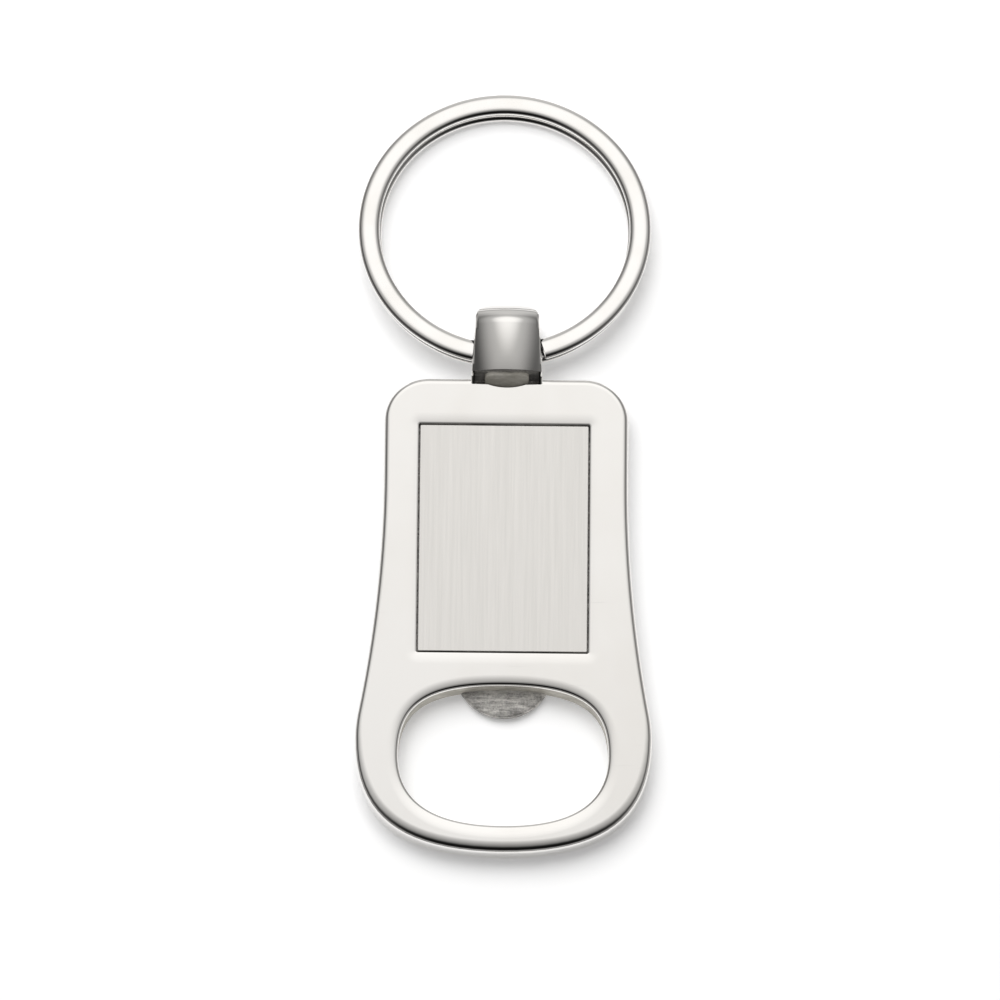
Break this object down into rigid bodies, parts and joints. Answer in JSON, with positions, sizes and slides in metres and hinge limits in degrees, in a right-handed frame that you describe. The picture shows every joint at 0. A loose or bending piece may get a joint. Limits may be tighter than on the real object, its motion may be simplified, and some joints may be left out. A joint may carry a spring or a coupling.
{
  "type": "keychain bottle opener",
  "caption": "Flat waisted bottle opener with an oval mouth, a half-round cap lug, an inlaid engraving plate and a hooded loop that carries a flat-wire split ring.",
  "frame": {"origin": "middle of the body's back face: halfway along the flat body without its hood, on its centre line", "axes": "+Y along the opener from the bottle mouth to the key ring, +Z out of the front face that carries the engraving plate, +X to the right seen from the front"},
  "size_m": [0.0329, 0.0885, 0.006],
  "materials": {
    "plated_casting": "polished nickel plating on a zinc casting, left rough on the cap lug and in the hood's pocket",
    "satin_plate": "fine satin grain along the opener's length",
    "adhesive_film": "double-sided film",
    "plated_wire": "polished nickel plating on flat spring-steel wire"
  },
  "bodies": {
    "opener": {"opener_body": "plated_casting", "engraving_plate": "satin_plate", "plate_adhesive": "adhesive_film"},
    "ring": {"split_ring": "plated_wire"}
  },
  "joints": [
    {"name": "ring_swing", "type": "hinge", "parent": "opener", "child": "ring", "pos_m": [0, 0.03025, 0.00285], "axis": [1, 0, 0], "range_deg": [-110, 140]}
  ]
}
